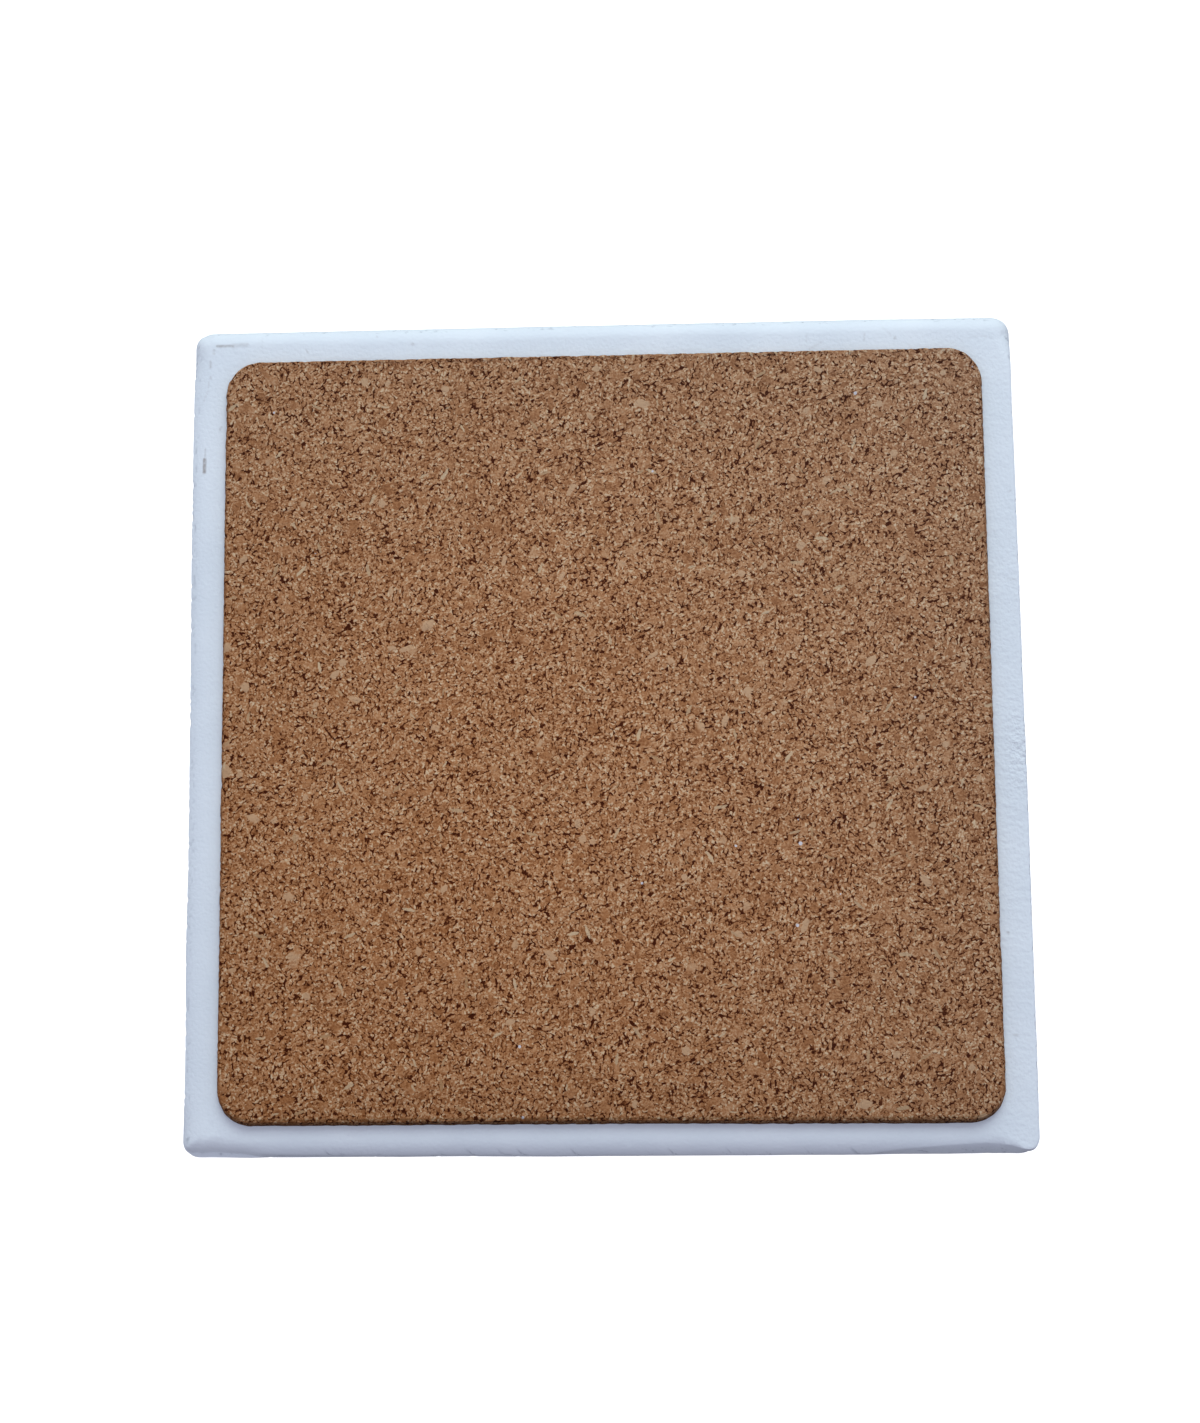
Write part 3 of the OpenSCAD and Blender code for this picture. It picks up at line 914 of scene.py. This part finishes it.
# The rest face's border is carried down the profile of the cut, and the sheet is closed at its foot
def buildCork(spec):
    top = corkHigh.z / mm
    rimTangent, out, drop, below = cutProfile(spec, top - corkLow.z / mm)
    half = corkHigh.x / mm - spec["flare"] - rimTangent
    radius = spec["cornerRadius"] - rimTangent
    straight = half - radius
    faceX, faceY = corkFace(spec, straight, radius)
    faceCount = faceX.size
    number = np.arange(faceCount).reshape(faceX.shape)
    border = np.concatenate([number[0, :-1], number[:-1, -1], number[-1, :0:-1], number[:0:-1, 0]])
    borderX, borderY = faceX.ravel()[border], faceY.ravel()[border]
    outX, outY = wayOut(borderX, borderY, straight)[1:]
    nearSide = smoothStep(*spec["nearFade"], -outY)
    spread = out + below * spec["nearFlare"] * nearSide
    cutX, cutY = borderX + spread * outX, borderY + spread * outY
    cutZ = top - drop + 0 * cutX
    cutX, cutY = raggedCut(spec, cutX, cutY, cutZ, outX, outY)

    x = np.concatenate([faceX.ravel(), cutX.ravel()])
    y = np.concatenate([faceY.ravel(), cutY.ravel()])
    x, y = placeBorders(spec, x, y, straight, radius)
    chipEdge, chipTraits = chipDepth(x, y, spec["chips"], spec["chipSeed"])
    sink = corkRelief(spec, x, y, chipEdge)
    z = np.concatenate([np.full(faceCount, top), cutZ.ravel()])
    z[:faceCount] -= sink[:faceCount]
    # pits darken with depth, partly as darker binder and partly as painted shade; the cut gets a fixed
    # share
    pit = np.interp(sink, spec["pitShade"], (0, 1))
    pit[faceCount:] = spec["cutShade"]

    # painted shade: the cut edge gets darker on its way down, most of all on the near side, starting
    # unevenly, and the face's near rim darkens too
    u, v = x / half, y / half
    worn = faceShadeAndBlotches(spec, x, y, u, v)
    start = spec["darkStart"] * softNoise(cutX, cutY, *spec["noise"]["darkness"])
    down = np.clip(np.linspace(0, 1, len(out))[:, None] + start, 0, 1) ** spec["darkPower"]
    worn[border] *= 1 - spec["rimDark"] * spec["edgeDark"] * nearSide
    dark = spec["edgeDark"] * between(spec["edgeDarkShares"], nearSide) * down
    worn[faceCount:] *= (1 - dark).ravel()
    shade = chipTraits[:, 5]
    fields = {
        "chipEdge": chipEdge,
        "chipTone": between(spec["chipTone"], shade),
        "pale": smoothStep(1 - spec["paleShare"], 1 - 0.5 * spec["paleShare"], shade),
        "pit": pit,
        # worn carries painted shade and random blotches, and the next field a painted sheen
        "worn": worn,
        "sheenSaturation": spec["saturation"] - spec["sheenStrength"] * (u + v + spec["sheenCurve"] * (u ** 2 + v ** 2)),
    }
    squares = np.stack([number[:-1, :-1], number[:-1, 1:], number[1:, 1:], number[1:, :-1]], axis=-1)
    rows = np.concatenate([border[None], faceCount + np.arange(cutX.size).reshape(cutX.shape)])
    quads = np.concatenate([squares.reshape(-1, 4), quadsBetween(rows)])
    return makePiece("cork_sheet", np.stack([x, y, z], axis=-1), quads, [rows[-1][::-1]], fields, cork)


corkPiece = buildCork(corkSheet)
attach(corkPiece, "root")
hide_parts("cork_backing")
print("cork:", len(corkPiece.data.vertices), "points")

# Soft light from an even room, with little of it from below, and a weaker window on the far side. The pale
# floor and the backdrop are there for the camera, and throw no light on the tile.
studio = {
    "floorHalf": 3000.0,  # mm
    "floorGap": 0.02,  # mm
    "domeRadius": 2800.0,  # mm
    "floorColour": "#F6F3EC",
    "floorGlow": 0.85,
    "fibreSize": 0.8,  # mm
    "fibreHeight": 0.02,  # mm
    "roomColour": "#E4E7FF",
    "roomStrength": 0.585,
    "belowShare": 0.1,
    "horizon": 0.05,  # half-height of the passage between above and below
    "windowColour": "#E8F8FA",
    "windowPower": 3.8,
    "windowSize": 0.55,  # metres
    "windowDistance": 0.75,  # metres
    "windowElevation": 34.0,
    "windowTurn": 6.0,  # from the far side towards the right
}


# Paper, bleached and matt: an even white with a barely visible fibre
def whitePaper(spec):
    material, tree, place = newMaterial("matt_bleached_paper")
    fibre = addNode(tree, "TexNoise", {
        "Vector": place, "Scale": 1 / (spec["fibreSize"] * mm), "Detail": 2.0})["Fac"]
    bump = addNode(tree, "Bump", {
        "Height": fibre, "Strength": 0.1, "Distance": spec["fibreHeight"] * mm})["Normal"]
    surface = addNode(tree, "BsdfPrincipled", {
        "Base Color": linearColour(spec["floorColour"]), "Roughness": 0.9, "Specular IOR Level": 0.1,
        "Emission Color": (1, 1, 1, 1), "Emission Strength": spec["floorGlow"], "Normal": bump})
    addNode(tree, "OutputMaterial", {"Surface": surface["BSDF"]})
    return material


# A flat square just under the tile
def studioFloor(spec, material):
    side = np.array([-1.0, 1.0]) * spec["floorHalf"]
    x, y = np.meshgrid(side, side)
    z = np.full(x.shape, tileLow.z / mm - spec["floorGap"])
    points = np.stack([x, y, z], axis=-1).reshape(-1, 3)
    return makePiece("floor", points, np.array([[0, 1, 3, 2]]), [], {}, material)


# A dome over the floor: the point at a turn and a rise is
# (cos turn cos rise, sin turn cos rise, sin rise) * radius
def studioBackdrop(spec, material):
    turn = np.linspace(0, 2 * np.pi, 64, endpoint=False)
    rise = np.linspace(-0.02, 0.97 * np.pi / 2, 20)[:, None]  # from under the floor to a closing face
    level = np.cos(rise)
    points = np.stack([level * np.cos(turn), level * np.sin(turn), np.sin(rise) + 0 * turn], axis=-1)
    points = points.reshape(-1, 3) * spec["domeRadius"]
    rows = np.arange(len(points)).reshape(rise.size, turn.size)
    return makePiece("backdrop", points, quadsBetween(rows), [rows[-1][::-1]], {}, material)


paper = whitePaper(studio)
floor = studioFloor(studio, paper)
floor.visible_diffuse = False  # it shows white without lighting the tile from below
floor.visible_glossy = False
backdrop = studioBackdrop(studio, paper)
for ray in ("visible_diffuse", "visible_glossy", "visible_transmission", "visible_shadow"):
    setattr(backdrop, ray, False)  # the room's light comes through it

world = bpy.data.worlds.new("softRoom")
world.use_nodes = True
worldTree = world.node_tree
worldTree.nodes.clear()
# the room is even above the floor, and only a share of it comes up from below
direction = addNode(worldTree, "TexCoord")["Generated"]
heading = addNode(worldTree, "SeparateXYZ", {0: direction})["Z"]
room, horizon = studio["roomStrength"], studio["horizon"]
glow = addNode(worldTree, "MapRange", {
    "Value": heading, "From Min": -horizon, "From Max": horizon,
    "To Min": room * studio["belowShare"], "To Max": room})["Result"]
sky = addNode(worldTree, "Background", {"Color": linearColour(studio["roomColour"]), "Strength": glow})
addNode(worldTree, "OutputWorld", {"Surface": sky["Background"]})
scene.world = world

windowData = bpy.data.lights.new("softWindow", "AREA")
windowData.shape = "SQUARE"
windowData.size = studio["windowSize"]
windowData.energy = studio["windowPower"]
windowData.color = linearColour(studio["windowColour"])[:3]
window = bpy.data.objects.new("softWindow", windowData)
scene.collection.objects.link(window)
rise, swing = math.radians(studio["windowElevation"]), math.radians(studio["windowTurn"])
towards = Vector((math.cos(rise) * math.sin(swing), math.cos(rise) * math.cos(swing), math.sin(rise)))
window.location = towards * studio["windowDistance"]
window.rotation_mode = "QUATERNION"
window.rotation_quaternion = towards.to_track_quat("Z", "Y")
scene.view_settings.view_transform = "Standard"
print("studio: floor, backdrop, room and window")
